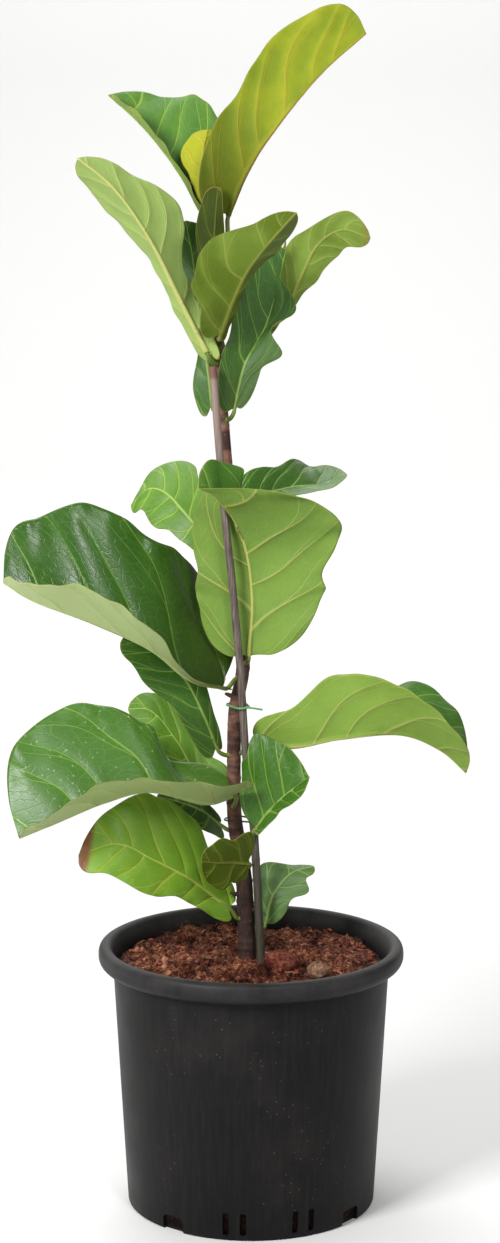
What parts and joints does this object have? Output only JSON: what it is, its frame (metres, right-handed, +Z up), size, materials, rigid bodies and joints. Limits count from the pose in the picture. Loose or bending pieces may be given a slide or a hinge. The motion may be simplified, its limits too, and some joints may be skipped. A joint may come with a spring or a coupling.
{
  "type": "potted fiddle leaf fig",
  "caption": "Young fiddle leaf fig with one thin trunk tied to a cane, broad waved leaves on stalks, standing in a round tapered black nursery pot.",
  "frame": {"origin": "centre of the pot's flat bottom, on the floor", "axes": "+Z up along the pot, -Y towards the viewer of the picture, +X to the viewer's right"},
  "size_m": [0.4009, 0.27, 1.0479],
  "materials": {
    "pot_plastic": "dusty matt moulded",
    "coir": "loose damp coir fibre, reddish brown",
    "bark": "rough dark bark",
    "cane": "weathered plant cane",
    "tie_green": "coated garden wire",
    "tie_black": "coated garden wire",
    "leaf_green": "waxy leathery leaf, glossy above and matt below",
    "leaf_fresh": "young lime-green leaf, soft gloss"
  },
  "bodies": {
    "root": {"pot": "pot_plastic", "soil": "coir", "trunk": "bark", "stake": "cane", "tie_upper": "tie_green", "tie_lower": "tie_black", "leaf_top_right": "leaf_fresh", "leaf_top_left": "leaf_green", "leaf_top_young": "leaf_fresh", "leaf_upper_left": "leaf_green", "leaf_upper_front": "leaf_green", "leaf_upper_right": "leaf_green", "leaf_upper_low_right": "leaf_green", "leaf_upper_back": "leaf_green", "leaf_upper_inner": "leaf_green", "leaf_mid_back_left": "leaf_fresh", "leaf_mid_back_right": "leaf_green", "leaf_mid_front": "leaf_green", "leaf_mid_left": "leaf_green", "leaf_low_left": "leaf_green", "leaf_low_big_left": "leaf_green", "leaf_low_back_left": "leaf_green", "leaf_bottom_left": "leaf_green", "leaf_low_under": "leaf_green", "leaf_low_front": "leaf_green", "leaf_low_right": "leaf_green", "leaf_right_arch": "leaf_fresh", "leaf_bottom_right": "leaf_green"}
  },
  "joints": []
}
